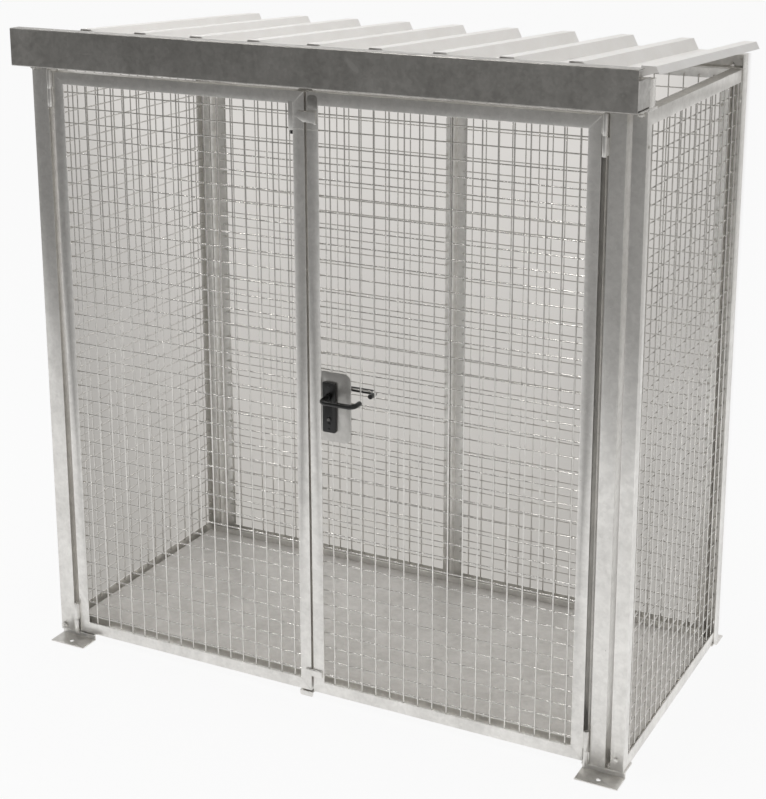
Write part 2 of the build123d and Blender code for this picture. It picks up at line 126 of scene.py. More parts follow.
def zinc_pattern(tree, place):
    """The tone of the zinc, from 0, dark, to 1, pale, with its blotches and crystal facets."""
    # The bath drains downwards, so the clouds are drawn out along Z.
    drained = add(tree, "Mapping", Vector=place, Scale=(1, 1, DRAIN_STRETCH)).outputs["Vector"]
    clouds = add(tree, "TexNoise", Vector=drained, Scale=1 / CLOUD_SIZE, Detail=3.0)
    blotches = add(tree, "TexNoise", Vector=place, Scale=1 / BLOTCH_SIZE, Detail=3.0,
                   Distortion=0.5)
    crystals = add(tree, "TexVoronoi", Vector=place, Scale=1 / SPANGLE_SIZE)
    facets = add(tree, "SeparateColor", Color=crystals.outputs["Color"])
    cloudy = add(tree, "Mix", Factor=0.45, i2=clouds.outputs["Fac"],
                 i3=blotches.outputs["Fac"]).outputs[0]
    tone = add(tree, "Mix", Factor=0.10, i2=cloudy, i3=facets.outputs["Red"]).outputs[0]
    return tone, blotches, facets


print("clouds", CLOUD_SIZE, "m, blotches", BLOTCH_SIZE, "m, spangle", SPANGLE_SIZE, "m")

# %% Pale scuffed marks on the zinc
BOARD_FACE = -0.59
MARK_DEPTH = 50 * MM


def scuffed(tree, place, tone, marks):
    """The tone with pale marks added to it, each an ellipse on the front board's face."""
    for x, z, half_length, half_width, tilt, strength in marks:
        spot = add(tree, "Mapping", {"vector_type": "TEXTURE"}, Vector=place,
                   Location=(x, BOARD_FACE, z), Rotation=(0, math.radians(tilt), 0),
                   Scale=(half_length, MARK_DEPTH, half_width)).outputs["Vector"]
        away = add(tree, "VectorMath", {"operation": "LENGTH"}, i0=spot).outputs["Value"]
        scuff = add(tree, "MapRange", {"interpolation_type": "SMOOTHSTEP"}, Value=away,
                    From_Min=0.2, From_Max=1.0, To_Min=strength, To_Max=0.0).outputs["Result"]
        tone = add(tree, "Math", {"operation": "ADD"}, i0=tone, i1=scuff).outputs[0]
    return tone


print("the board's face is at y", round(BOARD_FACE, 3))

# %% The galvanised finishes
SKIN_GRAIN = 3 * MM


def galvanised(name, dark, pale, roughness, bloom=0.1, grain_height=0.05, marks=()):
    """Dipped zinc between two greys, rougher where it is dark.

    bloom is the share of the surface that is chalky, and grain_height is the strength of the
    fine bump.
    """
    finish, tree, shader, place = new_finish(name)
    tone, blotches, facets = zinc_pattern(tree, place)
    tone = scuffed(tree, place, tone, marks)
    colour = add(tree, "ValToRGB", {"stops": [(0.34, dark), (0.66, pale)]}, Fac=tone)
    tree.links.new(colour.outputs["Color"], shader.inputs["Base Color"])
    sheen = add(tree, "Mix", Factor=0.3, i2=tone, i3=facets.outputs["Green"]).outputs[0]
    rough = add(tree, "MapRange", Value=sheen, From_Min=0.3, From_Max=0.7,
                To_Min=roughness + 0.05, To_Max=roughness - 0.05)
    tree.links.new(rough.outputs["Result"], shader.inputs["Roughness"])
    if grain_height:
        grain = add(tree, "TexNoise", Vector=place, Scale=1 / SKIN_GRAIN, Detail=2.0)
        skin = add(tree, "Mix", Factor=0.6, i2=grain.outputs["Fac"],
                   i3=blotches.outputs["Fac"]).outputs[0]
        relief = add(tree, "Bump", Strength=grain_height, Distance=1 * MM, Height=skin)
        tree.links.new(relief.outputs["Normal"], shader.inputs["Normal"])
    shader.inputs["Metallic"].default_value = 1 - bloom
    return finish


# Frames and posts: dull dipped steel, which mirrors the studio as soft grey clouds.
zinc_steel = galvanised("hot_dip_galvanised_steel", "#D8D6D2", "#EFEDE9", 0.36)
# Mesh: drawn wire is smoother, so each wire carries a thin bright line and sharp glints.
zinc_wire = galvanised("galvanised_wire", "#CCCAC6", "#E4E2DE", 0.22, bloom=0.0, grain_height=0)
# Bolts, nuts, welds and small plates: newer and a little brighter than the frames.
zinc_plate = galvanised("bright_zinc_plate", "#D6D4CF", "#EAE8E4", 0.30)
# The lock's plates: a duller grey, which sets off the black handle plate.
zinc_lock = galvanised("dull_lock_plate", "#B4B2AE", "#C8C6C2", 0.36)
# The lock cylinder's plug: worn by keys, so it is only a dim grey spot.
zinc_plug = galvanised("worn_cylinder_plug", "#6E6C6A", "#82807D", 0.45)
# The floor tray: rough and more than half chalky, so it is almost matt.
zinc_tray = galvanised("chalky_floor_tray", "#D3D0CB", "#E9E6E2", 0.58, bloom=0.6)
zincs = (zinc_steel, zinc_wire, zinc_plate, zinc_lock, zinc_plug, zinc_tray)
print("galvanised finishes:", [zinc.name for zinc in zincs])

# %% [markdown]
# ## The front board
# The board is galvanised sheet, not dipped angle, and its zinc is thinner and darker. Handling
# left pale scuffs: one slanting streak right of the middle, a short level scratch on the left, and
# a faint upright smear. Each is an ellipse in the board's own plane, given by its middle, half
# length, half width, tilt in degrees and strength.

# %% The front board's finish, with its scuffs
scuffs = [(0.188, 2.116, 0.050, 0.013, 41, 0.22), (-0.751, 2.0925, 0.028, 0.0025, -3, 0.30),
          (-0.135, 2.120, 0.034, 0.009, 80, 0.10), (0.335, 2.075, 0.040, 0.010, 12, 0.07)]
zinc_board = galvanised("galvanised_sheet", "#9A9894", "#BDBBB7", 0.34, marks=scuffs)
print("front board finish with", len(scuffs), "scuffs")

# %% [markdown]
# ## Coated roof sheet
# The roof is steel sheet with a baked off-white coat, so it is not a bare metal: metallic is 0
# and the coat has the default IOR of paints, 1.5. Sheet this thin ripples a little between its
# ribs, which a long, low bump gives. Rain leaves a faint dull film, drawn as clouds of 160 mm.

# %% The roof finish
RIPPLE = 160 * MM


def coated_sheet():
    """Steel sheet under a baked off-white coat, with a faint dull film and a low ripple."""
    finish, tree, shader, place = new_finish("off_white_coated_steel")
    film = add(tree, "TexNoise", Vector=place, Scale=1 / RIPPLE, Detail=5.0, Roughness=0.6)
    colour = add(tree, "ValToRGB", {"stops": [(0.3, "#ECE9E5"), (0.75, "#F3F1EE")]},
                 Fac=film.outputs["Fac"])
    tree.links.new(colour.outputs["Color"], shader.inputs["Base Color"])
    rough = add(tree, "MapRange", Value=film.outputs["Fac"], To_Min=0.55, To_Max=0.42)
    tree.links.new(rough.outputs["Result"], shader.inputs["Roughness"])
    ripple = add(tree, "Bump", Strength=0.12, Distance=4 * MM, Height=film.outputs["Fac"])
    tree.links.new(ripple.outputs["Normal"], shader.inputs["Normal"])
    return finish


roof_coat = coated_sheet()
for name in ("roof_sheet_left", "roof_sheet_right"):
    nodes[name].data.materials.clear()
    nodes[name].data.materials.append(roof_coat)
    print(name, "has", len(nodes[name].data.polygons), "faces in", roof_coat.name)

# %% [markdown]
# ## Black handle set
# The levers and their plates are black moulded nylon over steel. Moulded nylon is never fully
# black: it has a soft sheen and a fine grain from its mould, here 0.6 mm, which is coarser than
# the real one so that it shows.

# %% The black nylon finish
MOULD_GRAIN = 0.6 * MM
HAND_WEAR = 30 * MM


def black_nylon():
    """Black moulded nylon with its mould's grain, smoother where hands have worn it."""
    finish, tree, shader, place = new_finish("black_moulded_nylon")
    grain = add(tree, "TexNoise", Vector=place, Scale=1 / MOULD_GRAIN, Detail=2.0)
    wear = add(tree, "TexNoise", Vector=place, Scale=1 / HAND_WEAR, Detail=4.0)
    colour = add(tree, "ValToRGB", {"stops": [(0.3, "#0D0D0C"), (0.8, "#1C1B1A")]},
                 Fac=wear.outputs["Fac"])
    tree.links.new(colour.outputs["Color"], shader.inputs["Base Color"])
    rough = add(tree, "MapRange", Value=wear.outputs["Fac"], To_Min=0.26, To_Max=0.40)
    tree.links.new(rough.outputs["Result"], shader.inputs["Roughness"])
    relief = add(tree, "Bump", Strength=0.08, Distance=0.3 * MM, Height=grain.outputs["Fac"])
    tree.links.new(relief.outputs["Normal"], shader.inputs["Normal"])
    return finish


nylon = black_nylon()
print("handle finish:", nylon.name)

# %% [markdown]
# ## Rolled edges on the steel
# A solid model has knife-sharp edges, and real angle, plate and folded sheet have none. Each
# steel node is copied, its flat triangles are joined into whole faces, and every edge is
# bevelled by about a millimetre. The copy stands for the node, in the same place. A bevel is
# chosen over a rounding shader because the export keeps real faces.

# %% Helpers that round edges and put a piece on its body
SHARP_TURN = math.radians(28)
SHADING_TURN = math.radians(50)


def roll_edges(shape, radius, steps=2):
    """Round every edge of a mesh under construction that turns sharply."""
    sharp = [e for e in shape.edges
             if len(e.link_faces) == 2 and e.calc_face_angle() > SHARP_TURN]
    bmesh.ops.bevel(shape, geom=sharp, offset=radius, segments=steps, profile=0.5,
                    affect="EDGES", clamp_overlap=True)


def set_piece(name, shape, body, slot, finish, *stands_for):
    """Turn a mesh under construction into a finished piece that rides on its body."""
    mesh = bpy.data.meshes.new(name)
    shape.to_mesh(mesh)
    shape.free()
    for face in mesh.polygons:
        face.use_smooth = True
    mesh.set_sharp_from_angle(angle=SHADING_TURN)
    mesh.materials.append(finish)
    piece = bpy.data.objects.new(name, mesh)
    bpy.context.scene.collection.objects.link(piece)
    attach(piece, body)
    if stands_for:
        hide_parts(*stands_for)
    return piece


def body_and_slot(node):
    """The moving body that carries a node, and its material slot in the record."""
    record = frame["record"]
    body = next(b for b, names in record["behaviour"]["bodies"].items() if node in names)
    slot = next(s["material_slot"] for s in record["subparts"] if s["node"] == node)
    return body, slot


def copy_of(node):
    """A node's mesh to work on, with its flat triangles joined into whole faces."""
    shape = bmesh.new()
    shape.from_mesh(nodes[node].data)
    bmesh.ops.remove_doubles(shape, verts=shape.verts, dist=0.01 * MM)
    bmesh.ops.dissolve_limit(shape, angle_limit=math.radians(0.5), verts=shape.verts,
                             edges=shape.edges)
    return shape


# %% Copy the steel nodes with rounded edges
THIN_EDGE = 0.9 * MM
SHEET_EDGE = 0.5 * MM
MOULDED_EDGE = 2.0 * MM


def rolled_copy(node, radius, finish, steps=2):
    """A copy of a node with its sharp edges rounded, in place of the node."""
    shape = copy_of(node)
    roll_edges(shape, radius, steps)
    return set_piece(node + "_rolled", shape, *body_and_slot(node), finish, node)


rolled = []
for name in sorted(nodes):
    if "wires" in name or name.startswith("roof_sheet") or name == "door_lever":
        continue
    if name.endswith("handle_plate"):
        rolled.append(rolled_copy(name, MOULDED_EDGE, nylon, 3))
    elif name in ("lock_plate", "lock_case"):
        rolled.append(rolled_copy(name, THIN_EDGE, zinc_lock))
    elif name == "front_fascia":
        rolled.append(rolled_copy(name, SHEET_EDGE, zinc_board))
    elif name == "floor_tray":
        rolled.append(rolled_copy(name, THIN_EDGE, zinc_tray))
    else:
        rolled.append(rolled_copy(name, THIN_EDGE, zinc_steel))
print(len(rolled), "pieces with rolled edges,", sum(len(o.data.polygons) for o in rolled), "faces")

# %% [markdown]
# ## Round wires
# The mesh is 4 mm wire at a 50 mm pitch. The solid model draws each wire with six flat sides, to
# keep it light. A round wire shows a thin bright line of light along it, and a flat-sided one
# does not, so every wire is made again as a smooth tube in the same place. Dipping adds a skin of
# zinc, so the tube is a little thicker than the bare wire.

# %% Find each wire of a node, and draw a tube between two points
WIRE_RADIUS = 2.3 * MM
WIRE_SIDES = 12


def wire_boxes(node):
    """The box of each separate wire in a node."""
    shape = copy_of(node)
    left, boxes = set(shape.verts), []
    while left:
        group, edge = set(), [left.pop()]
        while edge:
            v = edge.pop()
            group.add(v)
            for e in v.link_edges:
                other = e.other_vert(v)
                if other in left:
                    left.discard(other)
                    edge.append(other)
        low = Vector([min(v.co[i] for v in group) for i in range(3)])
        high = Vector([max(v.co[i] for v in group) for i in range(3)])
        boxes.append((low, high))
    shape.free()
    return sorted(boxes, key=lambda b: tuple(round(c, 5) for c in b[0]))


def tube(shape, start, end, radius, sides):
    """A closed round bar between two points."""
    run = end - start
    turn = run.to_track_quat("Z", "Y").to_matrix().to_4x4()
    place = Matrix.Translation((start + end) / 2) @ turn
    return bmesh.ops.create_cone(shape, cap_ends=True, segments=sides, radius1=radius,
                                 radius2=radius, depth=run.length, matrix=place)["verts"]


places = {name: wire_boxes(name) for name in sorted(nodes) if "wires" in name}
print("wires in each layer:", {name: len(boxes) for name, boxes in places.items()})

# %% Turn each six-sided wire into a round one
def round_wires(node):
    """One piece with a round wire for each wire of the node."""
    shape = bmesh.new()
    for low, high in places[node]:
        size, middle = high - low, (low + high) / 2
        along = max(range(3), key=lambda i: size[i])
        start, end = middle.copy(), middle.copy()
        start[along], end[along] = low[along], high[along]
        tube(shape, start, end, WIRE_RADIUS, WIRE_SIDES)
    return set_piece(node + "_round", shape, *body_and_slot(node), zinc_wire, node)


wires = [round_wires(name) for name in places]
print("round wires:", sum(len(boxes) for boxes in places.values()), "in", len(wires), "pieces")

# %% [markdown]
# ## Zinc where the mesh meets its frame
# Each wire end is tacked to the frame, and the zinc gathers there in a small drop. The drops sit
# in the corner between a wire and the inner edge of the angle, so from the front they look like
# a row of small bumps along the stiles.

# %% A drop of zinc at each wire end
DROP = 3.2 * MM
DROP_GAP = 1 * MM
FRAME_FACE = 40 * MM


def drop(shape, middle, size):
    """A small rounded lump, stretched to its three half sizes."""
    for v in bmesh.ops.create_icosphere(shape, subdivisions=1, radius=1.0)["verts"]:
        v.co = Vector(a * b for a, b in zip(v.co, size)) + middle


def zinc_drops(panel):
    """Zinc drops where the wires of a panel pass behind its frame's inner edge."""
    low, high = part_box(panel + "_frame")
    flat = 0 if "side" in panel else 1
    shape = bmesh.new()
    for layer, along in (("upright", 2), ("cross", 1 - flat)):
        for wire_low, wire_high in places[f"{panel}_{layer}_wires"]:
            for end, limit, inward in ((wire_low, low, 1), (wire_high, high, -1)):
                if abs(end[along] - limit[along]) > FRAME_FACE:
                    continue
                spot = (wire_low + wire_high) / 2
                spot[along] = limit[along] + inward * (FRAME_FACE + DROP_GAP)
                size = Vector((DROP, DROP, DROP))
                size[along] *= 1.5
                size[flat] *= 0.8
                drop(shape, spot, size)
    return set_piece(panel + "_zinc_drops", shape, *body_and_slot(panel + "_frame"), zinc_steel)


PANELS = ("left_door", "right_door", "rear_left", "rear_right", "left_side", "right_side")
for panel in PANELS:
    print(panel, "drops:", len(zinc_drops(panel).data.polygons) // 20)

# %% [markdown]
# ## Mitre welds
# The angles of each frame are cut at 45 degrees and welded, and the weld is ground nearly flush.
# What is left is a low seam from the inner to the outer corner. A half-sunk bar of 1 mm radius
# gives that seam, and catches the light as the real one does.

# %% Weld the frame corners
SEAM_RADIUS = 1.0 * MM
SEAM_SUNK = 0.55 * MM


def mitre_seams(panel):
    """One seam across each mitred corner of a panel's frame, on its outer face."""
    low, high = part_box(panel + "_frame")
    flat, out = (0, 1 if "right" in panel else -1) if "side" in panel else (1, -1)
    if panel.startswith("rear"):
        out = 1
    across = 1 - flat
    face = high[flat] if out > 0 else low[flat]
    shape = bmesh.new()
    for side in (low, high):
        for end in (low, high):
            outer, inner = Vector((face, face, face)), Vector((face, face, face))
            for point, step in ((outer, 1.5 * MM), (inner, FRAME_FACE - 1 * MM)):
                point[across] = side[across] + (step if side is low else -step)
                point[2] = end[2] + (step if end is low else -step)
                point[flat] = face - out * SEAM_SUNK
            tube(shape, outer, inner, SEAM_RADIUS, 8)
    return set_piece(panel + "_mitre_seams", shape, *body_and_slot(panel + "_frame"), zinc_steel)


seams = [mitre_seams(panel) for panel in PANELS]
print("mitre seams:", 4 * len(seams))

# %% [markdown]
# ## Weld beads
# A hand weld is a row of small overlapping puddles. The two closing lugs are welded along their
# top edges, and there is a lump of weld on top of the right leaf, beside its upper corner. These
# are short, so each puddle is its own drop.

# %% Weld beads on the lugs and the right leaf
def weld(shape, start, end, radius):
    """A row of overlapping puddles between two points."""
    run = end - start
    count = max(2, round(run.length / (0.9 * radius)))
    for i in range(count + 1):
        drop(shape, start + run * (i / count), Vector((radius, radius, radius)))


upper_low, upper_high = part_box("upper_closing_lug")
lower_low, lower_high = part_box("lower_closing_lug")
leaf_low, leaf_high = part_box("right_door_frame")
bead = bmesh.new()
weld(bead, Vector((leaf_low.x + 10 * MM, leaf_low.y, upper_high.z)),
     Vector((upper_high.x - 3 * MM, leaf_low.y, upper_high.z)), 3.4 * MM)
weld(bead, Vector((upper_high.x - 6 * MM, leaf_low.y, upper_low.z)),
     Vector((upper_high.x - 1 * MM, leaf_low.y, upper_low.z)), 3.4 * MM)
weld(bead, Vector((leaf_low.x + 3 * MM, leaf_low.y, lower_high.z)),
     Vector((lower_high.x - 3 * MM, leaf_low.y, lower_high.z)), 3.0 * MM)
weld(bead, Vector((leaf_low.x + 12 * MM, leaf_low.y + 3 * MM, leaf_high.z)),
     Vector((leaf_low.x + 22 * MM, leaf_low.y + 3 * MM, leaf_high.z)), 3.6 * MM)
beads = set_piece("lug_weld_beads", bead, "right_door", "galvanised_steel", zinc_plate)
print("weld puddles:", len(beads.data.polygons) // 20)

# %% [markdown]
# ## The bolt guide and the shoot bolt
# Near the top of the left leaf a guide for a shoot bolt stands beside the stile, with the bolt's
# dark end under it. A box and a short bar are the right shapes for a flat guide and a round
# bolt, and their rounded edges are what catches the light.

# %% Fit the bolt guide and the shoot bolt's end
GUIDE_WIDTH, GUIDE_LOW, GUIDE_TOP = 15 * MM, 1.891, 1.980
BOLT_RADIUS, BOLT_LOW, BOLT_TOP = 4.5 * MM, 1.879, 1.960


def plate(shape, low, high):
    """A box from its two corners."""
    place = Matrix.Translation((low + high) / 2) @ Matrix.Diagonal((*(high - low), 1))
    bmesh.ops.create_cube(shape, size=1.0, matrix=place)


left_low, left_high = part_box("left_door_frame")
stile = left_high.x - FRAME_FACE
face_y = left_low.y
guide = bmesh.new()
plate(guide, Vector((stile - GUIDE_WIDTH, face_y - 0.4 * MM, GUIDE_LOW)),
      Vector((stile + 1 * MM, face_y + 3 * MM, GUIDE_TOP)))
roll_edges(guide, 0.8 * MM)
set_piece("bolt_guide", guide, "left_door", "galvanised_steel", zinc_steel)

bolt = bmesh.new()
bolt_x, bolt_y = stile - 7 * MM, face_y + 6 * MM
tube(bolt, Vector((bolt_x, bolt_y, BOLT_TOP)), Vector((bolt_x, bolt_y, BOLT_LOW)), BOLT_RADIUS, 20)
roll_edges(bolt, 1.0 * MM)
set_piece("shoot_bolt_end", bolt, "left_door", "black_fittings", nylon)
print("guide beside the stile at x", round(stile, 3), "bolt end at height", BOLT_LOW)

# %% [markdown]
# ## The shade plate and the ground weld
# The right leaf has a thin dark plate with a rounded top, over its upper lug, and its dark zinc is
# painted shade on the stile. Its outline is drawn as points, with an arc at each upper corner,
# filled with one face and pushed out to its thickness. Below it a ground weld crosses both stiles
# as one thin bright line, which a half-sunk bar gives, as it does on the mitres.

# %% Fit the painted shade plate and the ground weld
SHADE_PLATE_LOW, SHADE_PLATE_TOP, SHADE_PLATE_CORNER = 1.962, 2.003, 12 * MM
SHADE_PLATE_SHEET = 1.4 * MM
WELD_HEIGHT = 1.897

# A thin dark plate whose dark zinc is painted shade on the right leaf's stile.
painted_shade = bmesh.new()
x0, x1 = leaf_low.x + 4 * MM, leaf_low.x + 38 * MM
outline = [(x0, SHADE_PLATE_LOW), (x1, SHADE_PLATE_LOW)]
for centre_x, first in ((x1 - SHADE_PLATE_CORNER, 0), (x0 + SHADE_PLATE_CORNER, 90)):
    for step in range(7):
        turn = math.radians(first + 15 * step)
        outline.append((centre_x + SHADE_PLATE_CORNER * math.cos(turn),
                        SHADE_PLATE_TOP - SHADE_PLATE_CORNER + SHADE_PLATE_CORNER * math.sin(turn)))
rim = [painted_shade.verts.new((x, face_y - 1.2 * MM, z)) for x, z in outline]
front = painted_shade.faces.new(rim)
back = bmesh.ops.extrude_face_region(painted_shade, geom=[front])["geom"]
bmesh.ops.translate(painted_shade, verts=[v for v in back if isinstance(v, bmesh.types.BMVert)],
                    vec=(0, SHADE_PLATE_SHEET, 0))
bmesh.ops.recalc_face_normals(painted_shade, faces=painted_shade.faces)
roll_edges(painted_shade, 0.4 * MM)
set_piece("stile_painted_shade_plate", painted_shade, "right_door", "galvanised_steel", zinc_board)

for body, x0, x1 in (("left_door", stile, left_high.x - 1.5 * MM),
                     ("right_door", leaf_low.x + 1.5 * MM, leaf_low.x + FRAME_FACE)):
    line = bmesh.new()
    tube(line, Vector((x0, face_y, WELD_HEIGHT)), Vector((x1, face_y, WELD_HEIGHT)),
         SEAM_RADIUS, 8)
    set_piece(body + "_ground_weld", line, body, "galvanised_steel", zinc_plate)
print("cover plate with", len(outline), "points round, weld at height", WELD_HEIGHT)

# %% [markdown]
# ## The lever handles
# Each lever is one bent bar, and both are on one spindle through the lock. A curve with a round
# bevel is the natural way to make a bent bar: its corners are real arcs, and its ends are capped.

# %% Helpers for a bent round bar
def rounded(points, radius, steps=8):
    """A path through points, with its corners turned to arcs."""
    path = [points[0]]
    for before, corner, after in zip(points, points[1:], points[2:]):
        a = (before - corner).normalized()
        b = (after - corner).normalized()
        reach = radius / math.tan(a.angle(b) / 2)
        centre = corner + (a + b).normalized() * radius / math.sin(a.angle(b) / 2)
        first, last = corner + a * reach - centre, corner + b * reach - centre
        for i in range(steps + 1):
            path.append(centre + radius * first.slerp(last, i / steps).normalized())
    return path + [points[-1]]


def bent_bar(name, points, radius, bend, *stands_for):
    """A round bar along a path with rounded corners, as a piece of the handle."""
    curve = bpy.data.curves.new(name, "CURVE")
    curve.dimensions = "3D"
    curve.bevel_depth = radius
    curve.bevel_resolution = 6
    curve.use_fill_caps = True
    line = rounded(points, bend)
    spline = curve.splines.new("POLY")
    spline.points.add(len(line) - 1)
    for point, co in zip(spline.points, line):
        point.co = (*co, 1)
    holder = bpy.data.objects.new(name + "_path", curve)
    mesh = bpy.data.meshes.new_from_object(holder)
    bpy.data.objects.remove(holder)
    shape = bmesh.new()
    shape.from_mesh(mesh)
    return set_piece(name, shape, "handle", "black_fittings", nylon, *stands_for)


right_angle = [Vector((0, 0, 0)), Vector((1, 0, 0)), Vector((1, 1, 0))]
print("a rounded corner has", len(rounded(right_angle, 0.1)) - 2, "points")

# %% Bend the two levers
lever_low, lever_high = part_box("door_lever")
plate_low, plate_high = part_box("outer_handle_plate")
inner_low, inner_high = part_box("inner_handle_plate")
BAR_RADIUS = 8 * MM
HUB_RADIUS, HUB_SUNK, HUB_PROUD = 9.5 * MM, 3 * MM, 12 * MM
BEND = 20 * MM
RETURN = 44 * MM
spindle_x = (plate_low.x + plate_high.x) / 2
spindle_z = 1063 * MM
tip_x = lever_high.x - BAR_RADIUS

lever_pieces = []
for side, wall, out in (("outer", plate_low.y, -1), ("inner", inner_high.y, 1)):
    bar_y = lever_low.y + BAR_RADIUS if out < 0 else lever_high.y - BAR_RADIUS
    corners = [Vector((spindle_x, wall, spindle_z)), Vector((spindle_x, bar_y, spindle_z)),
               Vector((tip_x, bar_y, spindle_z)),
               Vector((tip_x, bar_y - out * RETURN, spindle_z))]
    stands = ("door_lever",) if side == "outer" else ()
    lever_pieces.append(bent_bar(side + "_lever", corners, BAR_RADIUS, BEND, *stands))
hub = bmesh.new()
for wall, out in ((plate_low.y, -1), (inner_high.y, 1)):
    tube(hub, Vector((spindle_x, wall - out * HUB_SUNK, spindle_z)),
         Vector((spindle_x, wall + out * HUB_PROUD, spindle_z)), HUB_RADIUS, 32)
roll_edges(hub, 1.0 * MM)
lever_pieces.append(set_piece("lever_hubs", hub, "handle", "black_fittings", nylon))
print("lever pieces:", [(o.name, len(o.data.polygons)) for o in lever_pieces])

# %% [markdown]
# ## Screws and the lock cylinder
# Each handle plate is held by a screw near its top and its bottom, and the lock cylinder comes
# through between them, as a large round with a smaller one below it. Only its small steel plug
# stands out from the black plate, as a dim grey spot with a key slot. All of these are short
# round bars with a rounded rim, one set on each side of the door.

# %% Fit the screws and the cylinder
SCREW_RADIUS, SCREW_FROM_END, SCREW_PROUD = 4.2 * MM, 11 * MM, 1.2 * MM
CYLINDER_RADIUS, CYLINDER_LOWER, CYLINDER_PROUD = 8.5 * MM, 5 * MM, 2.2 * MM
CYLINDER_DROP = 15 * MM
PLUG_RADIUS, PLUG_PROUD = 4.5 * MM, 3.0 * MM
cylinder_z = 0.989


def stub(shape, wall, out, sunk, proud, z, radius, sides):
    """A short round bar through a wall of the handle set, on the spindle's line."""
    tube(shape, Vector((spindle_x, wall + out * sunk, z)),
         Vector((spindle_x, wall + out * proud, z)), radius, sides)


fittings, plug = bmesh.new(), bmesh.new()
for wall, out in ((plate_low.y, -1), (inner_high.y, 1)):
    for z in (plate_low.z + SCREW_FROM_END, plate_high.z - SCREW_FROM_END):
        stub(fittings, wall, out, -1 * MM, SCREW_PROUD, z, SCREW_RADIUS, 20)
    stub(fittings, wall, out, -1 * MM, CYLINDER_PROUD, cylinder_z, CYLINDER_RADIUS, 32)
    stub(fittings, wall, out, -1 * MM, CYLINDER_PROUD, cylinder_z - CYLINDER_DROP, CYLINDER_LOWER, 24)
    stub(plug, wall, out, 1 * MM, PLUG_PROUD, cylinder_z, PLUG_RADIUS, 24)
roll_edges(fittings, 0.5 * MM)
roll_edges(plug, 0.4 * MM)
set_piece("handle_plate_fittings", fittings, "right_door", "black_fittings", nylon)
set_piece("lock_cylinder_plugs", plug, "right_door", "galvanised_steel", zinc_plug)
print("cylinder axis at height", cylinder_z, "screws:", 4)

# %% Black bars on the plugs, painted shade where the key slots are
SLOT_HALF_WIDTH, SLOT_HALF_HEIGHT = 0.6 * MM, 3.6 * MM

# Each key slot is a thin black bar standing on the plug: painted shade of the keyway.
keyway_shade = bmesh.new()
for wall, out in ((plate_low.y, -1), (inner_high.y, 1)):
    y = sorted((wall + out * 2.6 * MM, wall + out * 3.2 * MM))
    plate(keyway_shade, Vector((spindle_x - SLOT_HALF_WIDTH, y[0], cylinder_z - SLOT_HALF_HEIGHT)),
          Vector((spindle_x + SLOT_HALF_WIDTH, y[1], cylinder_z + SLOT_HALF_HEIGHT)))
set_piece("key_slot_shade", keyway_shade, "right_door", "black_fittings", nylon)
print("key slot", round(2 * SLOT_HALF_HEIGHT / MM, 1), "mm high")

# %% [markdown]
# ## Bolts, nuts and threads
# The frames are bolted together at the corners. A nut or a head is a hexagonal prism with its
# rim rounded, over a washer, and a bolt's end shows its thread. The thread is a true helix: each
# ring of points swells and shrinks as it goes round, and the swell moves up by one pitch a turn.

# %% Helpers for hexagons and threads
def hexagon(shape, foot, out, across, depth):
    """A nut or a bolt head, standing out from foot, with its size across the flats."""
    turn = out.to_track_quat("Z", "Y").to_matrix().to_4x4()
    place = Matrix.Translation(foot + out * depth / 2) @ turn
    radius = across / math.sqrt(3)
    bmesh.ops.create_cone(shape, cap_ends=True, segments=6, radius1=radius, radius2=radius,
                          depth=depth, matrix=place)


def thread(shape, foot, out, radius, length, pitch=1.75 * MM, sides=16, rows_per_turn=6):
    """A threaded end of a bolt: a helix of one ridge, closed at its tip.

    The default pitch is that of a 12 mm bolt.
    """
    turn = out.to_track_quat("Z", "Y")
    rows = round(length / pitch * rows_per_turn)
    rings = []
    for row in range(rows + 1):
        ring = []
        for i in range(sides):
            angle = 2 * math.pi * i / sides
            ridge = abs((row / rows_per_turn + i / sides) % 1 - 0.5) * 2
            reach = radius - 0.55 * pitch * ridge
            point = Vector((reach * math.cos(angle), reach * math.sin(angle), length * row / rows))
            ring.append(shape.verts.new(foot + turn @ point))
        rings.append(ring)
    for lower, upper in zip(rings, rings[1:]):
        for i in range(sides):
            j = (i + 1) % sides
            shape.faces.new((lower[i], lower[j], upper[j], upper[i]))
    shape.faces.new(rings[-1])
    shape.faces.new(list(reversed(rings[0])))


UP, DOWN, TO_RIGHT = Vector((0, 0, 1)), Vector((0, 0, -1)), Vector((1, 0, 0))
FORE, AFT = Vector((0, -1, 0)), Vector((0, 1, 0))
print("a 12 mm nut is", round(19 / math.sqrt(3) * 2, 1), "mm across its corners")

# %% [markdown]
# ## Bolts under the front board
# At each end a vertical bolt holds the board's lower flange, with a plate washer and two nuts
# under it. A leaf that swings fully open passes below, so the bolt ends 21 mm under the board,
# 5 mm above the leaf's top. The thread is made after the rims are rounded, to keep its ridge.

# %% Bolts under the ends of the front board
front_low, front_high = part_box("front_fascia")
BOARD_SHEET = 3 * MM
BOARD_WASHER = 2.5 * MM
BOARD_BOLT_RADIUS, BOARD_BOLT_LENGTH = 5.8 * MM, 21 * MM


